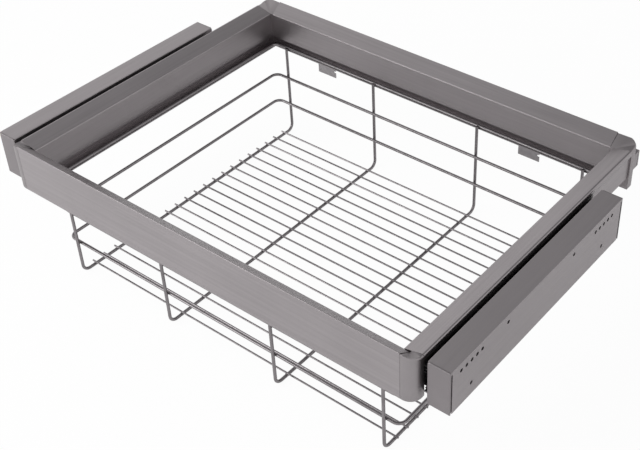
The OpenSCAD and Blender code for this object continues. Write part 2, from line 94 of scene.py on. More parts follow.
class BasketLight(bpy.types.PropertyGroup):
    """Levels of the studio."""
    end_walls: FloatVectorProperty(
        name="End Wall Colour", description="Colour of the studio behind and over the basket",
        subtype="COLOR", min=0, max=1, default=(0.27, 0.27, 0.275))
    side_walls: FloatVectorProperty(
        name="Side Wall Colour", description="Colour of the studio's walls at the left and right",
        subtype="COLOR", min=0, max=1, default=(0.92, 0.92, 0.92))
    front_wall: FloatVectorProperty(
        name="Front Wall Colour", description="Colour of the studio's wall before the basket",
        subtype="COLOR", min=0, max=1, default=(0.9, 0.9, 0.9))
    backdrop: FloatVectorProperty(
        name="Backdrop Colour", description="Colour that the camera sees past the floor's edge",
        subtype="COLOR", min=0, max=1, default=(1, 1, 1))
    floor: FloatVectorProperty(
        name="Floor Colour", description="Colour of the floor", subtype="COLOR", min=0, max=1,
        default=(0.9, 0.9, 0.9))
    backdrop_glow: FloatProperty(
        name="Backdrop Glow", description="Share of plain white in the floor that the camera sees",
        subtype="FACTOR", min=0, max=1, default=0.95)
    mirrored_glow: FloatProperty(
        name="Mirrored Glow", description="Share of plain white in the floor that metal mirrors",
        subtype="FACTOR", min=0, max=1, default=0.2)
    key_power: FloatProperty(
        name="Key Power", description="Power of the large soft lamp", subtype="POWER", default=26)
    low_power: FloatProperty(
        name="Low Power", description="Power of the low lamp at the front left", subtype="POWER",
        default=10)


class BasketFinish(bpy.types.PropertyGroup):
    """Colours of the finishes."""
    rail: FloatVectorProperty(
        name="Rail", description="Brushed aluminium of the rails", subtype="COLOR", min=0, max=1,
        default=(0.375, 0.348, 0.357))
    # Painted shade: a darker rail colour for the inner faces, which stand in the frame's shade;
    # their brushing is also duller and more even.
    rail_inside: FloatVectorProperty(
        name="Rail Inside", description="Duller brushing of the rails' inner faces",
        subtype="COLOR", min=0, max=1, default=(0.345, 0.32, 0.328))
    housing: FloatVectorProperty(
        name="Housing", description="Aluminium of the side housings", subtype="COLOR",
        min=0, max=1, default=(0.385, 0.357, 0.366))
    corner: FloatVectorProperty(
        name="Corner", description="Cast corner pieces", subtype="COLOR", min=0, max=1,
        default=(0.345, 0.32, 0.328))
    cap: FloatVectorProperty(
        name="Cap", description="Cast caps of the housings", subtype="COLOR", min=0, max=1,
        default=(0.285, 0.263, 0.271))
    wire: FloatVectorProperty(
        name="Wire", description="Plated wire of the basket", subtype="COLOR", min=0, max=1,
        default=(0.265, 0.247, 0.255))
    # Painted shade: the slide coat is near-black so that the gap between frame and housing, where
    # the slides lie, renders as dark as its shade.
    slide: FloatVectorProperty(
        name="Slide", description="Black coating of the slide members", subtype="COLOR",
        min=0, max=1, default=(0.018, 0.018, 0.02))
    zinc: FloatVectorProperty(
        name="Zinc", description="Zinc plate of clips, screws, rivets and cages", subtype="COLOR",
        min=0, max=1, default=(0.39, 0.37, 0.38))
    ball: FloatVectorProperty(
        name="Ball", description="Polished steel of the slides' balls", subtype="COLOR",
        min=0, max=1, default=(0.62, 0.62, 0.63))
    pad: FloatVectorProperty(
        name="Pad", description="Plastic of the rear pads", subtype="COLOR", min=0, max=1,
        default=(0.25, 0.232, 0.24))
    rubber: FloatVectorProperty(
        name="Rubber", description="Rubber of the slides' end stops", subtype="COLOR",
        min=0, max=1, default=(0.02, 0.02, 0.02))
    weld_shade: FloatProperty(
        name="Weld Shade", description="How bright a weld bead is beside its wire",
        subtype="FACTOR", min=0, max=1, default=0.8)


class BasketEdges(bpy.types.PropertyGroup):
    """Rounding of the edges and fineness of the wires."""
    end_ridge: FloatProperty(
        name="End Ridge", description="Rounding of the front and back rails' top outer edge",
        unit="LENGTH", default=1.5 * MM)
    end_lip: FloatProperty(
        name="End Lip", description="Rounding of the front and back rails' top inner edge",
        unit="LENGTH", default=1.1 * MM)
    side_ridge: FloatProperty(
        name="Side Ridge", description="Rounding of the side rails' top outer edge", unit="LENGTH",
        default=3.4 * MM)
    side_lip: FloatProperty(
        name="Side Lip", description="Rounding of the side rails' top inner edge", unit="LENGTH",
        default=1.5 * MM)
    sheet: FloatProperty(
        name="Sheet", description="Rounding of the rails' other edges", unit="LENGTH",
        default=0.45 * MM)
    foot: FloatProperty(
        name="Foot", description="Rounding of the front and back rails' bottom outer edge",
        unit="LENGTH", default=0.9 * MM)
    front_corner: FloatProperty(
        name="Front Corner", description="Radius of the front corner pieces, as in the solids",
        unit="LENGTH", default=14 * MM)
    rear_corner: FloatProperty(
        name="Rear Corner", description="Radius of the rear corner pieces, as in the solids",
        unit="LENGTH", default=10 * MM)
    seam: FloatProperty(
        name="Seam", description="Open joint between a corner piece and the front or back rail",
        unit="LENGTH", default=0.25 * MM)
    housing: FloatProperty(
        name="Housing", description="Rounding of the housings' long edges", unit="LENGTH",
        default=0.4 * MM)
    housing_shoulder: FloatProperty(
        name="Housing Shoulder", description="Rounding of the housings' edge along the gap",
        unit="LENGTH", default=0.9 * MM)
    cap_shoulder: FloatProperty(
        name="Cap Shoulder", description="Rounding of the caps' edge along the gap", unit="LENGTH",
        default=3.0 * MM)
    cap_rim: FloatProperty(
        name="Cap Rim", description="Rounding round the caps' faces", unit="LENGTH",
        default=1.2 * MM)
    cap: FloatProperty(
        name="Cap", description="Rounding of the caps' other edges", unit="LENGTH",
        default=0.24 * MM)
    member: FloatProperty(
        name="Member", description="Rounding of the slide members' edges", unit="LENGTH",
        default=0.25 * MM)
    end_stop: FloatProperty(
        name="End Stop", description="Rounding of the slides' end stops", unit="LENGTH",
        default=0.5 * MM)
    screw_head: FloatProperty(
        name="Screw Head", description="Rounding of the rail screws' heads", unit="LENGTH",
        default=0.4 * MM)
    rivet_head: FloatProperty(
        name="Rivet Head", description="Rounding of the slide rivets' heads", unit="LENGTH",
        default=0.35 * MM)
    clip: FloatProperty(
        name="Clip", description="Rounding of the clips' sheet edges", unit="LENGTH",
        default=0.2 * MM)
    clip_rivet: FloatProperty(
        name="Clip Rivet", description="Rounding of the clip rivets' heads", unit="LENGTH",
        default=0.25 * MM)
    pad: FloatProperty(
        name="Pad", description="Rounding of the rear pads", unit="LENGTH", default=1.0 * MM)
    pad_arm: FloatProperty(
        name="Pad Arm", description="Rounding of the rear corners' arms that carry the pads",
        unit="LENGTH", default=0.6 * MM)
    wire_bend: FloatProperty(
        name="Wire Bend", description="Bend radius of the wires, as in the solids", unit="LENGTH",
        default=10 * MM)
    cross_pitch: FloatProperty(
        name="Cross Pitch", description="Step from one cross wire to the next, as in the solids",
        unit="LENGTH", default=18 * MM)
    wire_sides: IntProperty(
        name="Wire Sides", description="Sides of a thick wire", default=20, min=8, max=48)
    cross_wire_sides: IntProperty(
        name="Cross Wire Sides", description="Sides of a cross wire", default=12, min=8, max=48)
    weld: FloatProperty(
        name="Weld Size", description="Half length of the weld beads where wires cross",
        unit="LENGTH", default=2.1 * MM)


# ---- materials ---------------------------------------------------------------------------------

def new_material(name):
    """A node material, its tree, its shader and coordinates in metres in the part's frame."""
    made = bpy.data.materials.new(name)
    made.use_nodes = True
    tree = made.node_tree
    coords = tree.nodes.new("ShaderNodeTexCoord")
    return made, tree, tree.nodes["Principled BSDF"], coords.outputs["Object"]


def feed(tree, source, socket):
    """Links an output to an input socket, or sets the socket to a plain value."""
    if isinstance(source, bpy.types.NodeSocket):
        tree.links.new(source, socket)
    else:
        socket.default_value = source


def arithmetic(tree, operation, *sources):
    """The result of a math node on outputs or numbers."""
    node = tree.nodes.new("ShaderNodeMath")
    node.operation = operation
    for source, socket in zip(sources, node.inputs):
        feed(tree, source, socket)
    return node.outputs["Value"]


def stretched_noise(tree, coords, scale, detail, seed=0.0):
    """Noise with its own scale, in cycles a metre, along X, Y and Z."""
    mapping = tree.nodes.new("ShaderNodeMapping")
    mapping.inputs["Scale"].default_value = scale
    mapping.inputs["Location"].default_value = (seed, seed, seed)
    field = tree.nodes.new("ShaderNodeTexNoise")
    field.inputs["Scale"].default_value = 1.0
    field.inputs["Detail"].default_value = detail
    feed(tree, coords, mapping.inputs["Vector"])
    feed(tree, mapping.outputs["Vector"], field.inputs["Vector"])
    return field.outputs["Fac"]


def spread(tree, value, low, high, start=0.25, end=0.75):
    """Goes from low to high as the value goes from start to end."""
    node = tree.nodes.new("ShaderNodeMapRange")
    for socket, number in (
        ("From Min", start), ("From Max", end), ("To Min", low), ("To Max", high),
    ):
        node.inputs[socket].default_value = number
    feed(tree, value, node.inputs["Value"])
    return node.outputs["Result"]


def colour_ramp(tree, value, first, last, start, end):
    """Goes from the first colour to the last as the value goes from start to end."""
    node = tree.nodes.new("ShaderNodeValToRGB")
    low, high = node.color_ramp.elements
    low.position, high.position = start, end
    low.color, high.color = (*first, 1), (*last, 1)
    feed(tree, value, node.inputs["Fac"])
    return node.outputs["Color"]


def colour_mix(tree, share, first, last):
    """The first colour, with a share of the last one over it."""
    node = tree.nodes.new("ShaderNodeMix")
    node.data_type = "RGBA"
    for socket, source in (("Factor", share), ("A", first), ("B", last)):
        feed(tree, source, node.inputs[socket])
    return node.outputs["Result"]


def shades(tree, value, colour, dark, light):
    """The colour, from dark times to light times as bright, as the value rises."""
    return colour_ramp(
        tree, value, [c * dark for c in colour], [min(c * light, 1) for c in colour],
        start=0.3, end=0.7)


def bump(tree, shader, height, depth, strength):
    """Raises the surface by the height, depth metres at most."""
    node = tree.nodes.new("ShaderNodeBump")
    node.inputs["Strength"].default_value = strength
    node.inputs["Distance"].default_value = depth
    feed(tree, height, node.inputs["Height"])
    feed(tree, node.outputs["Normal"], shader.inputs["Normal"])


def lengthwise(along, run, across):
    """Cycles a metre along X, Y and Z: few along the brushing and many across it."""
    return [run if axis == along else across for axis in "XYZ"]


def brushed(name, colour, along, roughness=0.36, contrast=0.10):
    """Aluminium brushed along one axis: fine hairlines, and longer, softer streaks."""
    material, tree, shader, coords = new_material(name)
    hair = stretched_noise(tree, coords, lengthwise(along, run=22, across=2600), detail=2.0)
    streak = stretched_noise(
        tree, coords, lengthwise(along, run=7, across=420), detail=4.0, seed=3.1)
    cloud = stretched_noise(tree, coords, [9, 9, 9], detail=2.0, seed=7.7)
    streak_share, cloud_share = 0.6, 0.4
    shade = arithmetic(
        tree, "MULTIPLY_ADD", streak, streak_share,
        arithmetic(tree, "MULTIPLY", cloud, cloud_share))
    base = shades(tree, shade, colour, dark=1 - contrast, light=1 + contrast)
    feed(tree, base, shader.inputs["Base Color"])
    feed(tree, spread(tree, hair, roughness - 0.07, roughness + 0.09), shader.inputs["Roughness"])
    bump(tree, shader, hair, depth=0.01 * MM, strength=0.35)
    shader.inputs["Metallic"].default_value = 1.0
    return material


def satin_cast(name, colour):
    """A cast piece with a satin coat: a very fine grain and faint clouds."""
    material, tree, shader, coords = new_material(name)
    grain = stretched_noise(tree, coords, [1900] * 3, detail=2.0)
    cloud = stretched_noise(tree, coords, [30] * 3, detail=3.0, seed=4.2)
    feed(tree, shades(tree, cloud, colour, dark=0.95, light=1.05), shader.inputs["Base Color"])
    feed(tree, spread(tree, grain, low=0.36, high=0.46), shader.inputs["Roughness"])
    bump(tree, shader, grain, depth=0.015 * MM, strength=0.3)
    shader.inputs["Metallic"].default_value = 1.0
    return material


def plated(name, colour, roughness, cloud_scale):
    """Plated steel: a nearly smooth coat whose gloss and shade drift a little."""
    material, tree, shader, coords = new_material(name)
    cloud = stretched_noise(tree, coords, [cloud_scale] * 3, detail=3.0)
    grain = stretched_noise(tree, coords, [1500] * 3, detail=2.0, seed=1.9)
    feed(tree, shades(tree, cloud, colour, dark=0.88, light=1.08), shader.inputs["Base Color"])
    feed(tree, spread(tree, grain, roughness - 0.05, roughness + 0.07), shader.inputs["Roughness"])
    bump(tree, shader, grain, depth=0.008 * MM, strength=0.3)
    shader.inputs["Metallic"].default_value = 1.0
    return material


def coated(name, colour, roughness, grain_scale, depth):
    """Paint, plastic or rubber with a fine texture."""
    material, tree, shader, coords = new_material(name)
    grain = stretched_noise(tree, coords, [grain_scale] * 3, detail=3.0)
    cloud = stretched_noise(tree, coords, [40] * 3, detail=2.0, seed=5.3)
    feed(tree, shades(tree, cloud, colour, dark=0.85, light=1.15), shader.inputs["Base Color"])
    feed(tree, spread(tree, grain, roughness - 0.06, roughness + 0.08), shader.inputs["Roughness"])
    bump(tree, shader, grain, depth, strength=0.4)
    return material


def rail_inside(along):
    """The brushing of a rail's inner face: duller and more even than outside, in a darker colour
    that paints the shade the inner faces stand in.
    """
    colours = bpy.context.scene.basket_finish
    name = f"rail_inside_along_{along.lower()}"
    return brushed(name, colours.rail_inside, along, roughness=0.42, contrast=0.06)


MADE_FINISHES = {}


def finish(name):
    """A finish by name, made once from the colours of the scene."""
    if name not in MADE_FINISHES:
        colours = bpy.context.scene.basket_finish
        weld = [c * colours.weld_shade for c in colours.wire]
        makers = {
            "rail_along_x": lambda: brushed("rail_along_x", colours.rail, "X"),
            "rail_along_y": lambda: brushed("rail_along_y", colours.rail, "Y"),
            "rail_inside_along_x": lambda: rail_inside("X"),
            "rail_inside_along_y": lambda: rail_inside("Y"),
            "housing": lambda: brushed(
                "housing_sheet", colours.housing, "Y", roughness=0.40, contrast=0.05),
            "corner": lambda: satin_cast("corner_cast", colours.corner),
            "cap": lambda: satin_cast("cap_cast", colours.cap),
            "wire": lambda: plated("basket_wire", colours.wire, roughness=0.22, cloud_scale=60),
            "weld": lambda: plated("weld_bead", weld, roughness=0.34, cloud_scale=300),
            "zinc": lambda: plated("zinc_plate", colours.zinc, roughness=0.33, cloud_scale=180),
            "ball": lambda: plated("steel_ball", colours.ball, roughness=0.10, cloud_scale=400),
            # Near-black, rough slide coat: painted shade for the gap the slides sit in.
            "slide": lambda: coated(
                "slide_coat", colours.slide, roughness=0.55, grain_scale=1600, depth=0.02 * MM),
            "pad": lambda: coated(
                "pad_plastic", colours.pad, roughness=0.5, grain_scale=1200, depth=0.03 * MM),
            "rubber": lambda: coated(
                "stop_rubber", colours.rubber, roughness=0.62, grain_scale=900, depth=0.04 * MM),
        }
        MADE_FINISHES[name] = makers[name]()
    return MADE_FINISHES[name]


def wear(obj, material_name):
    """Gives an object one finish all over."""
    obj.data.materials.clear()
    obj.data.materials.append(finish(material_name))


# ---- mesh helpers ------------------------------------------------------------------------------

# Places this near are taken as one height or one face, and points this near as one point.
CLOSE = 0.05 * MM
SAME_POINT = 0.001 * MM

# Faces that meet at less than the first angle are one flat face. Edges with more than the second
# are rounded.
FLAT_ANGLE = math.radians(0.6)
SHARP_ANGLE = math.radians(28)

# A piece shades smoothly over edges up to the first angle, and a corner piece up to the second.
SMOOTH_ANGLE = math.radians(30)
CORNER_SMOOTH_ANGLE = math.radians(38)


def add_piece(name, mesh, body, slot, material_name, *nodes, smooth_angle=SMOOTH_ANGLE):
    """Puts a mesh in the scene as a piece that rides on a body and stands for the nodes."""
    mesh.shade_smooth()
    mesh.set_sharp_from_angle(angle=smooth_angle)
    obj = bpy.data.objects.new(name, mesh)
    bpy.context.scene.collection.objects.link(obj)
    wear(obj, material_name)
    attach(obj, body)
    if nodes:
        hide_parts(*nodes)
    return obj


def mesh_from(bm, name):
    """Turns a bmesh into a mesh with its faces facing outwards."""
    bmesh.ops.recalc_face_normals(bm, faces=bm.faces)
    mesh = bpy.data.meshes.new(name)
    bm.to_mesh(mesh)
    bm.free()
    return mesh


def clean_copy(node):
    """The node's solid with its flat faces whole again, ready for rounded edges."""
    bm = bmesh.new()
    bm.from_mesh(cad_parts[node].data)
    bmesh.ops.remove_doubles(bm, verts=bm.verts, dist=SAME_POINT)
    bmesh.ops.dissolve_limit(bm, angle_limit=FLAT_ANGLE, verts=bm.verts, edges=bm.edges)
    return bm


def sharp_edges(bm):
    """The edges between two faces that meet at a clear angle."""
    return [e for e in bm.edges if len(e.link_faces) == 2 and e.calc_face_angle() > SHARP_ANGLE]


def edges_where(bm, test):
    """The sharp edges with both ends at a place that passes the test."""
    return [e for e in sharp_edges(bm) if all(test(v.co) for v in e.verts)]


def soften(bm, edges, width, segments):
    """Rounds the edges, as wide as named or as their neighbours allow."""
    if edges:
        bmesh.ops.bevel(
            bm, geom=edges, offset=width, offset_type="OFFSET", segments=segments, profile=0.5,
            affect="EDGES", clamp_overlap=True)


def keep_faces_flat(obj):
    """Weighs the normals by face, so that rounded edges shade smoothly into flat faces."""
    flat = obj.modifiers.new("flat_faces", "WEIGHTED_NORMAL")
    flat.keep_sharp = True
    flat.weight = 80


def between(start, end, share):
    return start + (end - start) * share


def tube(bm, path, radius, sides, closed=False):
    """A round wire along a path of points, with flat ends where it isn't closed."""
    count = len(path)
    tangents = []
    for i in range(count):
        before = path[i - 1] if closed or i else path[i]
        after = path[(i + 1) % count] if closed or i < count - 1 else path[i]
        tangents.append((after - before).normalized())
    side = tangents[0].orthogonal().normalized()
    rings = []
    for point, along in zip(path, tangents):
        side = (side - along * side.dot(along)).normalized()
        up = along.cross(side)
        rings.append([
            bm.verts.new(point + radius * (math.cos(a) * side + math.sin(a) * up))
            for a in (math.tau * k / sides for k in range(sides))
        ])
    pairs = list(zip(rings, rings[1:]))
    if closed:
        pairs.append((rings[-1], rings[0]))
    for here, there in pairs:
        for k in range(sides):
            bm.faces.new((here[k], here[(k + 1) % sides], there[(k + 1) % sides], there[k]))
    if not closed:
        bm.faces.new(rings[0])
        bm.faces.new(rings[-1])


def quarter_turn(centre, start, axis, steps):
    """Points from centre + start, through a quarter turn about the axis."""
    return [
        centre + Matrix.Rotation(math.pi / 2 * i / steps, 3, axis) @ start
        for i in range(steps + 1)
    ]


# ---- rails, corners and housings ---------------------------------------------------------------

# Steps of the rounds.
RIDGE_STEPS = 5
LIP_STEPS = 4
FOOT_STEPS = 3
SMALL_STEPS = 2
CORNER_STEPS = 14

# The height under a rail's top in which its inner top edge lies.
TOP_BAND = 15 * MM

# A rail's face is an inner face where its normal points inwards by more than this.
INWARD_SHARE = 0.8

# The middle point of a foot's round, as a share of its radius.
FOOT_MIDDLE = 0.3

# How far the pads' arms reach into the rear corner pieces.
PAD_ARM_ROOT = 6 * MM


def inner_lip(node, axis):
    """Distance from the middle, and height, of a rail's inner top edge."""
    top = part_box(node)[1].z
    upper = [v.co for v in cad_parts[node].data.vertices if v.co.z > top - TOP_BAND]
    place = min(abs(co[axis]) for co in upper)
    return place, max(co.z for co in upper if abs(co[axis]) < place + CLOSE)


def dress_rail(node, along):
    """A rail with its ridge, inner lip and foot rounded, and its inner face in a darker finish, as
    painted shade.

    A side rail's edges that lie in its two end planes stay sharp, against the corner pieces.
    """
    edges = bpy.context.scene.basket_edges
    low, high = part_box(node)
    across = 1 if along == "x" else 0
    ridge_r, lip_r = (
        (edges.end_ridge, edges.end_lip) if along == "x" else (edges.side_ridge, edges.side_lip))
    lip_place, lip_z = inner_lip(node, across)
    outer_y = max(abs(low.y), abs(high.y))
    middle_y, half_run = (low.y + high.y) / 2, (high.y - low.y) / 2

    def on_ridge(co):
        return co.z > high.z - CLOSE

    def on_lip(co):
        return abs(co.z - lip_z) < CLOSE and abs(abs(co[across]) - lip_place) < CLOSE

    def on_foot(co):
        return co.z < low.z + CLOSE and abs(co.y) > outer_y - CLOSE

    def clear_of_ends(co):
        return abs(co.y - middle_y) < half_run - CLOSE

    bm = clean_copy(node)
    soften(bm, edges_where(bm, on_ridge), ridge_r, RIDGE_STEPS)
    soften(bm, edges_where(bm, on_lip), lip_r, LIP_STEPS)
    if along == "x":
        soften(bm, edges_where(bm, on_foot), edges.foot, FOOT_STEPS)
    others = [
        e for e in sharp_edges(bm) if along == "x" or any(clear_of_ends(v.co) for v in e.verts)]
    soften(bm, others, edges.sheet, SMALL_STEPS)
    obj = add_piece(
        f"{node}_profile", mesh_from(bm, node), "carriage", "rail", f"rail_along_{along}", node)
    # Painted shade: the faces that point inwards get the darker finish.
    obj.data.materials.append(finish(f"rail_inside_along_{along}"))
    inward = -1 if (low[across] + high[across]) > 0 else 1
    for polygon in obj.data.polygons:
        if polygon.normal[across] * inward > INWARD_SHARE:
            polygon.material_index = 1
    keep_faces_flat(obj)


def corner_columns(front, side):
    """Upright slices of a corner, from the front or back rail round to the side rail.

    Each slice is (outer point, inner point, height of the ridge, height at the inner point,
    share of the way round).
    """
    edges = bpy.context.scene.basket_edges
    hand = 1 if side == "right" else -1
    way = -1 if front else 1
    end_rail = "front_rail" if front else "back_rail"
    end_low, end_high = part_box(end_rail)
    rail_low, rail_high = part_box("right_rail")
    radius = edges.front_corner if front else edges.rear_corner
    out_x = rail_high.x
    out_y = abs(end_low.y if front else end_high.y)
    start_x = end_high.x + edges.seam
    stop_y = abs(rail_low.y if front else rail_high.y)
    lip_z = inner_lip(end_rail, 1)[1]
    side_lip_x, side_lip_z = inner_lip("right_rail", 0)
    fan_x = max(start_x, side_lip_x)
    fan_z = between(side_lip_z, rail_high.z, (fan_x - side_lip_x) / (out_x - side_lip_x))

    def column(x, y, inner_x, share):
        return (
            Vector((hand * x, way * y, 0)), Vector((hand * inner_x, way * stop_y, 0)),
            between(end_high.z, rail_high.z, share), between(lip_z, fan_z, share), share)

    columns = [column(start_x, out_y, start_x, 0)]
    for i in range(CORNER_STEPS + 1):
        share = i / CORNER_STEPS
        angle = math.pi / 2 * share
        columns.append(column(
            out_x - radius + radius * math.sin(angle), out_y - radius + radius * math.cos(angle),
            fan_x, share))
    columns.append(column(out_x, stop_y, fan_x, 1))
    return columns


def slice_profile(outer, inner, ridge_z, inner_z, bottom, ridge_r, foot_r):
    """One slice as a loop: inner foot, rounded outer foot, wall, rounded ridge, inner top."""
    inward = inner - outer
    width = inward.length
    inward.normalize()

    def at(d, z):
        return outer + inward * d + Vector((0, 0, z))

    turn = math.pi / 2 - math.atan2(ridge_z - inner_z, width)
    centre_z = ridge_z - ridge_r / math.tan(turn / 2)
    middle = foot_r * FOOT_MIDDLE
    loop = [
        at(width, bottom), at(foot_r, bottom), at(middle, bottom + middle), at(0, bottom + foot_r)]
    for i in range(RIDGE_STEPS + 1):
        a = math.pi - turn * i / RIDGE_STEPS
        loop.append(at(ridge_r + ridge_r * math.cos(a), centre_z + ridge_r * math.sin(a)))
    loop.append(at(width, inner_z))
    return loop


def add_block(bm, low, high, width):
    """A block with rounded edges between two corners, in a bmesh that holds other shells."""
    block = bmesh.new()
    made = bmesh.ops.create_cube(block, size=1.0)
    for v in made["verts"]:
        v.co = Vector(between(a, b, c + 0.5) for a, b, c in zip(low, high, v.co))
    soften(block, block.edges[:], width, SMALL_STEPS)
    shell = bpy.data.meshes.new("block")
    block.to_mesh(shell)
    block.free()
    bm.from_mesh(shell)
    bpy.data.meshes.remove(shell)


def dress_corner(front, side):
    """A corner piece: the rails' two tops run into each other round a rounded outer edge.

    A rear corner also has the arm that carries its pad.
    """
    node = f"{'front' if front else 'back'}_{side}_corner"
    edges = bpy.context.scene.basket_edges
    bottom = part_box(node)[0].z
    bm = bmesh.new()
    loops = []
    for outer, inner, ridge_z, inner_z, share in corner_columns(front, side):
        ridge_r = between(edges.end_ridge, edges.side_ridge, share)
        profile = slice_profile(outer, inner, ridge_z, inner_z, bottom, ridge_r, edges.foot)
        loops.append([bm.verts.new(p) for p in profile])
    for here, there in zip(loops, loops[1:]):
        for k in range(len(here)):
            bm.faces.new((here[k - 1], here[k], there[k], there[k - 1]))
    bm.faces.new(loops[0])
    bm.faces.new(loops[-1])
    bmesh.ops.remove_doubles(bm, verts=bm.verts, dist=SAME_POINT)
    bmesh.ops.dissolve_degenerate(bm, edges=bm.edges, dist=SAME_POINT)
    if not front:
        hand = 1 if side == "right" else -1
        pad_low, pad_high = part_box("rear_pads")
        near_x = min(abs(v.co.x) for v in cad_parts["rear_pads"].data.vertices)
        low_x, high_x = sorted((hand * near_x, hand * pad_high.x))
        root_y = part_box("back_rail")[1].y - PAD_ARM_ROOT
        add_block(
            bm, (low_x, root_y, pad_low.z), (high_x, pad_low.y, pad_high.z), edges.pad_arm)
    add_piece(
        f"{node}_shell", mesh_from(bm, node), "carriage", "end_piece", "corner", node,
        smooth_angle=CORNER_SMOOTH_ANGLE)


def dress_block(node, name, body, slot, material_name, width, segments=SMALL_STEPS):
    """Any flat-sided node with its sharp edges rounded."""
    bm = clean_copy(node)
    soften(bm, sharp_edges(bm), width, segments)
    keep_faces_flat(add_piece(name, mesh_from(bm, name), body, slot, material_name, node))


def along_gap(bm, low, high, side):
    """The edges at a housing's or cap's top that face the gap."""
    gap_x = low.x if side == "right" else high.x
    return edges_where(bm, lambda co: abs(co.x - gap_x) < CLOSE and co.z > high.z - CLOSE)


def dress_housing(side):
    """A housing tube, with a wide round along the gap and small rounds elsewhere."""
    node = f"{side}_housing"
    edges = bpy.context.scene.basket_edges
    bm = clean_copy(node)
    soften(bm, along_gap(bm, *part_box(node), side), edges.housing_shoulder, RIDGE_STEPS)
    soften(bm, sharp_edges(bm), edges.housing, SMALL_STEPS)
    obj = add_piece(f"{node}_tube", mesh_from(bm, node), "housings", "rail", "housing", node)
    keep_faces_flat(obj)


def dress_cap(side, end):
    """A cap: its plate has the housing's shoulder and a softly rounded face."""
    node = f"{side}_{end}_cap"
    edges = bpy.context.scene.basket_edges
    low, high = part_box(node)
    face_y = low.y if end == "front" else high.y
    bm = clean_copy(node)
    soften(bm, along_gap(bm, low, high, side), edges.cap_shoulder, RIDGE_STEPS)
    face_rim = edges_where(bm, lambda co: abs(co.y - face_y) < CLOSE)
    soften(bm, face_rim, edges.cap_rim, LIP_STEPS)
    soften(bm, sharp_edges(bm), edges.cap, 1)
    obj = add_piece(f"{node}_plate", mesh_from(bm, node), "housings", "end_piece", "cap", node)
    keep_faces_flat(obj)


# ---- basket ------------------------------------------------------------------------------------

# Steps of a wire's bend.
BEND_STEPS = 8

# Half sizes of the weld beads along X, Y and Z, as shares of the weld's size.
FLOOR_BEAD = (1.0, 0.85, 0.45)
RING_BEAD = (0.9, 0.5, 0.9)
RIM_BEAD = (0.9, 0.5, 0.8)

# How uneven a bead is, how fine that is, and what sets one bead's seed apart from the next.
BEAD_DEPTH = 0.14
BEAD_FINENESS = 1.7
SEED_STEP = 1.3
SEED_SLANT = 0.37


def loop_path(low, high, wire_r, bend_r):
    """Centre line of a closed wire loop with rounded corners that fills the box."""
    hx = (high.x - low.x) / 2 - wire_r
    hy = (high.y - low.y) / 2 - wire_r
    middle = (low + high) / 2
    path = []
    for turn in range(4):
        flat, side = (hx, hy) if turn % 2 == 0 else (hy, hx)
        corner = Vector((flat - bend_r, bend_r - side, 0))
        spin = Matrix.Rotation(math.pi / 2 * turn, 3, "Z")
        bend = quarter_turn(corner, Vector((0, -bend_r, 0)), "Z", BEND_STEPS)
        path += [middle + spin @ p for p in bend]
    return path


def u_path(low, high, wire_r, bend_r):
    """Centre line of a U-shaped wire: down a post, under the floor and up the other post."""
    x = (low.x + high.x) / 2
    y0, y1 = low.y + wire_r, high.y - wire_r
    z0 = low.z + wire_r
    front = Vector((x, y0 + bend_r, z0 + bend_r))
    back = Vector((x, y1 - bend_r, z0 + bend_r))
    return [
        Vector((x, y0, high.z)),
        *quarter_turn(front, Vector((0, -bend_r, 0)), "X", BEND_STEPS),
        *quarter_turn(back, Vector((0, 0, -bend_r)), "X", BEND_STEPS),
        Vector((x, y1, high.z)),
    ]


def cross_places(pitch):
    """Where the cross wires lie along Y, evenly over their box."""
    low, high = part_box("cross_wires")
    wire_r = (high.z - low.z) / 2
    first, last = low.y + wire_r, high.y - wire_r
    steps = round((last - first) / pitch)
    return [first + (last - first) * i / steps for i in range(steps + 1)]


def bead(bm, place, size, shape, seed):
    """A small uneven bead of weld metal."""
    made = bmesh.ops.create_icosphere(bm, subdivisions=2, radius=1.0)
    along, across, height = (size * share for share in shape)
    for v in made["verts"]:
        spot = v.co * BEAD_FINENESS + Vector((seed, seed * SEED_SLANT, 0))
        rough = 1 + BEAD_DEPTH * noise.noise(spot)
        v.co = place + Vector((v.co.x * along, v.co.y * across, v.co.z * height)) * rough


# ---- studio ------------------------------------------------------------------------------------

FLOOR_R = 9.0
FLOOR_SIDES = 96
FLOOR_DROP = 0.25 * MM

# Name, place, size, the setting that holds its power, and whether metal mirrors it.
LAMPS = (
    ("key_lamp", (-1.0, -1.3, 1.9), 1.6, "key_power", False),
    ("low_lamp", (-1.5, -2.2, 0.7), 1.0, "low_power", True),
)

# Sideways share of a direction at which the end walls stop, and at which the side walls start.
END_WALLS_STOP = 0.24
SIDE_WALLS_START = 0.70

# The front wall is seen forwards and low: its direction, and how near to it the wall comes in.
FRONT_AND_LOW = (0, -1, -0.6)
FRONT_WALL_FROM = 0.1
FRONT_WALL_FULL = 0.4


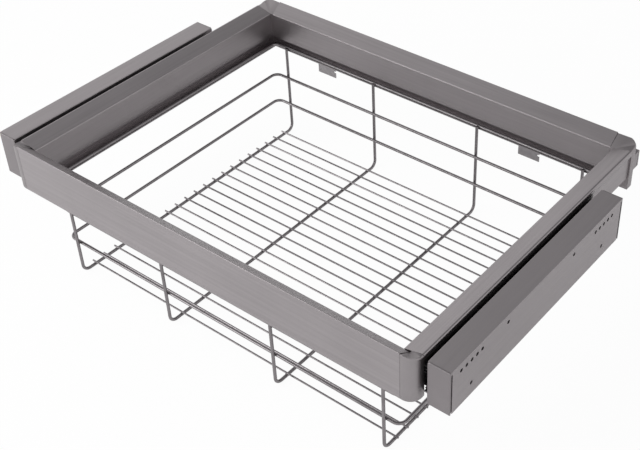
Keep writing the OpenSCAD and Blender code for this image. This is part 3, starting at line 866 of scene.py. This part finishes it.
def make_floor(scene, light):
    """A round paper floor, white to the camera but for the object's shadow."""
    bm = bmesh.new()
    bmesh.ops.create_circle(bm, cap_ends=True, segments=FLOOR_SIDES, radius=FLOOR_R)
    bmesh.ops.translate(bm, verts=bm.verts, vec=(0, 0, -FLOOR_DROP))
    floor = bpy.data.objects.new("studio_floor", mesh_from(bm, "studio_floor"))
    scene.collection.objects.link(floor)
    material, tree, shader, coords = new_material("floor_paper")
    grain = stretched_noise(tree, coords, [300] * 3, detail=2.0)
    paper = shades(tree, grain, light.floor, dark=0.985, light=1.015)
    feed(tree, paper, shader.inputs["Base Color"])
    shader.inputs["Roughness"].default_value = 0.9
    shader.inputs["Specular IOR Level"].default_value = 0.1
    ray = tree.nodes.new("ShaderNodeLightPath")
    mirrored = arithmetic(tree, "MULTIPLY", ray.outputs["Is Glossy Ray"], light.mirrored_glow)
    share = arithmetic(
        tree, "MULTIPLY_ADD", ray.outputs["Is Camera Ray"], light.backdrop_glow, mirrored)
    glow = tree.nodes.new("ShaderNodeEmission")
    glow.inputs["Color"].default_value = (1, 1, 1, 1)
    glow.inputs["Strength"].default_value = 1.0
    mix = tree.nodes.new("ShaderNodeMixShader")
    shown = (share, shader.outputs["BSDF"], glow.outputs["Emission"])
    for source, socket in zip(shown, mix.inputs):
        feed(tree, source, socket)
    feed(tree, mix.outputs["Shader"], tree.nodes["Material Output"].inputs["Surface"])
    floor.data.materials.append(material)


def make_walls(scene, light):
    """Walls that the metal mirrors: bright at the sides and low in front, dark at the ends."""
    world = bpy.data.worlds.new("studio")
    scene.world = world
    world.use_nodes = True
    tree = world.node_tree
    direction = tree.nodes.new("ShaderNodeTexCoord").outputs["Generated"]
    parts = tree.nodes.new("ShaderNodeSeparateXYZ")
    feed(tree, direction, parts.inputs["Vector"])
    sideways = arithmetic(tree, "ABSOLUTE", parts.outputs["X"])
    walls = colour_ramp(
        tree, sideways, light.end_walls, light.side_walls, END_WALLS_STOP, SIDE_WALLS_START)
    nearness = tree.nodes.new("ShaderNodeVectorMath")
    nearness.operation = "DOT_PRODUCT"
    feed(tree, direction, nearness.inputs[0])
    nearness.inputs[1].default_value = FRONT_AND_LOW
    ahead = spread(tree, nearness.outputs["Value"], 0, 1, FRONT_WALL_FROM, FRONT_WALL_FULL)
    room = colour_mix(tree, ahead, walls, (*light.front_wall, 1))
    ray = tree.nodes.new("ShaderNodeLightPath")
    view = colour_mix(tree, ray.outputs["Is Camera Ray"], room, (*light.backdrop, 1))
    background = tree.nodes["Background"]
    feed(tree, view, background.inputs["Color"])
    background.inputs["Strength"].default_value = 1.0


def make_lamps(scene, light):
    """Soft square lamps that face the middle of the basket."""
    middle = (CAD_BOX[0] + CAD_BOX[1]) / 2
    for name, place, size, power, mirrored in LAMPS:
        data = bpy.data.lights.new(name, "AREA")
        data.size = size
        data.energy = getattr(light, power)
        lamp = bpy.data.objects.new(name, data)
        lamp.location = place
        lamp.visible_glossy = mirrored
        lamp.rotation_euler = (Vector(place) - middle).to_track_quat("Z", "Y").to_euler()
        scene.collection.objects.link(lamp)


def make_camera(scene, sight):
    """The camera at the photograph's viewing angle."""
    lens = bpy.data.cameras.new("photo_camera")
    lens.sensor_width = sight.sensor
    lens.lens = sight.lens
    lens.shift_x = sight.shift_x
    lens.shift_y = sight.shift_y
    camera = bpy.data.objects.new("photo_camera", lens)
    camera.location = sight.place
    camera.rotation_euler = (math.pi / 2 - sight.elevation, 0, sight.azimuth)
    scene.collection.objects.link(camera)
    scene.camera = camera


# ---- operators ---------------------------------------------------------------------------------

class BASKET_OT_stage(bpy.types.Operator):
    """Makes the floor, the studio's walls, the lamps and the camera"""
    bl_idname = "basket.stage"
    bl_label = "Stage"

    def execute(self, context):
        scene = context.scene
        make_floor(scene, scene.basket_light)
        make_walls(scene, scene.basket_light)
        make_lamps(scene, scene.basket_light)
        make_camera(scene, scene.basket_view)
        scene.view_settings.view_transform = "Standard"
        return {"FINISHED"}


class BASKET_OT_rails(bpy.types.Operator):
    """Rounds and finishes the four hollow rails"""
    bl_idname = "basket.rails"
    bl_label = "Rails"

    def execute(self, context):
        for node in ("front_rail", "back_rail"):
            dress_rail(node, "x")
        for node in ("left_rail", "right_rail"):
            dress_rail(node, "y")
        return {"FINISHED"}


class BASKET_OT_corners(bpy.types.Operator):
    """Models the four corner pieces"""
    bl_idname = "basket.corners"
    bl_label = "Corners"

    def execute(self, context):
        for side in SIDES:
            dress_corner(True, side)
            dress_corner(False, side)
        return {"FINISHED"}


class BASKET_OT_housings(bpy.types.Operator):
    """Rounds and finishes the side housings and their caps"""
    bl_idname = "basket.housings"
    bl_label = "Housings"

    def execute(self, context):
        for side in SIDES:
            dress_housing(side)
            dress_cap(side, "front")
            dress_cap(side, "rear")
        return {"FINISHED"}


class BASKET_OT_slides(bpy.types.Operator):
    """Finishes the ball slides with their members, cages, balls and end stops"""
    bl_idname = "basket.slides"
    bl_label = "Ball Slides"

    def execute(self, context):
        edges = context.scene.basket_edges
        bodies = {"outer": "housings", "middle": "middle_{}", "inner": "carriage"}
        for side in SIDES:
            for member, body in bodies.items():
                node = f"{side}_{member}_member"
                dress_block(
                    node, f"{node}_strip", body.format(side), "slide", "slide", edges.member, 1)
            for cage in ("outer", "inner"):
                wear(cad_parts[f"{side}_{cage}_cage"], "zinc")
                wear(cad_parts[f"{side}_{cage}_balls"], "ball")
            node = f"{side}_end_stop"
            dress_block(node, f"{node}_block", "housings", "rubber", "rubber", edges.end_stop)
        return {"FINISHED"}


class BASKET_OT_fasteners(bpy.types.Operator):
    """Finishes the screws, rivets, clips and rear pads"""
    bl_idname = "basket.fasteners"
    bl_label = "Clips And Fasteners"

    def execute(self, context):
        edges = context.scene.basket_edges
        pieces = []
        for side in SIDES:
            pieces += [
                (f"{side}_rail_screws", f"{side}_rail_screw_heads", "carriage", edges.screw_head),
                (f"{side}_slide_rivets", f"{side}_slide_rivet_heads", "housings",
                 edges.rivet_head),
            ]
        pieces += [
            ("basket_clips", "basket_clip_sheets", "carriage", edges.clip),
            ("clip_rivets", "clip_rivet_heads", "carriage", edges.clip_rivet),
        ]
        for node, name, body, width in pieces:
            dress_block(node, name, body, "steel", "zinc", width)
        dress_block("rear_pads", "rear_pad_blocks", "carriage", "pad", "pad", edges.pad, LIP_STEPS)
        return {"FINISHED"}


class BASKET_OT_wires(bpy.types.Operator):
    """Bends the rim, the rings, the U-shaped wires and the cross wires"""
    bl_idname = "basket.wires"
    bl_label = "Wires"

    def execute(self, context):
        edges = context.scene.basket_edges
        for loop in ("rim", "upper_ring", "lower_ring"):
            runs, bends = f"{loop}_sides", f"{loop}_bends"
            low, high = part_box(runs)
            wire_r = (high.z - low.z) / 2
            bm = bmesh.new()
            path = loop_path(low, high, wire_r, edges.wire_bend)
            tube(bm, path, wire_r, edges.wire_sides, closed=True)
            add_piece(f"{loop}_loop", mesh_from(bm, loop), "basket", "wire", "wire", runs, bends)
        for node in U_WIRES:
            low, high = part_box(node)
            wire_r = (high.x - low.x) / 2
            bm = bmesh.new()
            tube(bm, u_path(low, high, wire_r, edges.wire_bend), wire_r, edges.wire_sides)
            add_piece(f"{node}_bend", mesh_from(bm, node), "basket", "wire", "wire", node)
        low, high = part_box("cross_wires")
        wire_r = (high.z - low.z) / 2
        z = (low.z + high.z) / 2
        bm = bmesh.new()
        for y in cross_places(edges.cross_pitch):
            ends = [Vector((low.x, y, z)), Vector((high.x, y, z))]
            tube(bm, ends, wire_r, edges.cross_wire_sides)
        add_piece(
            "cross_wire_floor", mesh_from(bm, "cross_wires"), "basket", "wire", "wire",
            "cross_wires")
        return {"FINISHED"}


class BASKET_OT_welds(bpy.types.Operator):
    """Sets a weld bead where the wires cross"""
    bl_idname = "basket.welds"
    bl_label = "Welds"

    def execute(self, context):
        edges = context.scene.basket_edges
        crossings = cross_places(edges.cross_pitch)
        cross_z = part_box("cross_wires")[0].z
        rim_low, rim_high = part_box("rim_sides")
        spots = []
        for node in U_WIRES:
            low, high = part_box(node)
            x = (low.x + high.x) / 2
            spots += [((x, y, cross_z), FLOOR_BEAD) for y in crossings]
            for ring in ("lower_ring_sides", "upper_ring_sides"):
                ring_low, ring_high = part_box(ring)
                z = (ring_low.z + ring_high.z) / 2
                spots += [((x, y, z), RING_BEAD) for y in (ring_low.y, ring_high.y)]
            z = (rim_low.z + rim_high.z) / 2
            spots += [((x, y, z), RIM_BEAD) for y in (low.y, high.y)]
        bm = bmesh.new()
        for number, (place, shape) in enumerate(spots, start=1):
            bead(bm, Vector(place), edges.weld, shape, number * SEED_STEP)
        add_piece("weld_beads", mesh_from(bm, "weld_beads"), "basket", "wire", "weld")
        return {"FINISHED"}


OPERATORS = (
    BASKET_OT_stage, BASKET_OT_rails, BASKET_OT_corners, BASKET_OT_housings, BASKET_OT_slides,
    BASKET_OT_fasteners, BASKET_OT_wires, BASKET_OT_welds,
)


class BASKET_PT_panel(bpy.types.Panel):
    """Lists the pieces, their sizes and their finishes"""
    bl_idname = "BASKET_PT_panel"
    bl_label = "Cabinet Basket"
    bl_space_type = "VIEW_3D"
    bl_region_type = "UI"
    bl_category = "Basket"

    def draw(self, context):
        layout = self.layout
        for operator in OPERATORS:
            layout.operator(operator.bl_idname)
        for title, group in (
            ("Camera", context.scene.basket_view), ("Studio", context.scene.basket_light),
            ("Finishes", context.scene.basket_finish), ("Edges", context.scene.basket_edges),
        ):
            column = layout.column(align=True)
            column.label(text=title)
            for prop in group.bl_rna.properties.keys():
                if prop not in ("rna_type", "name"):
                    column.prop(group, prop)


SETTINGS = {
    "basket_view": BasketView, "basket_light": BasketLight,
    "basket_finish": BasketFinish, "basket_edges": BasketEdges,
}
CLASSES = (*SETTINGS.values(), *OPERATORS, BASKET_PT_panel)


def register():
    for item in CLASSES:
        bpy.utils.register_class(item)
    for name, group in SETTINGS.items():
        setattr(bpy.types.Scene, name, PointerProperty(type=group))


def unregister():
    for name in SETTINGS:
        delattr(bpy.types.Scene, name)
    for item in reversed(CLASSES):
        bpy.utils.unregister_class(item)


def main():
    register()
    bpy.ops.basket.stage()
    bpy.ops.basket.rails()
    bpy.ops.basket.corners()
    bpy.ops.basket.housings()
    bpy.ops.basket.slides()
    bpy.ops.basket.fasteners()
    bpy.ops.basket.wires()
    bpy.ops.basket.welds()


if __name__ == "__main__":
    main()
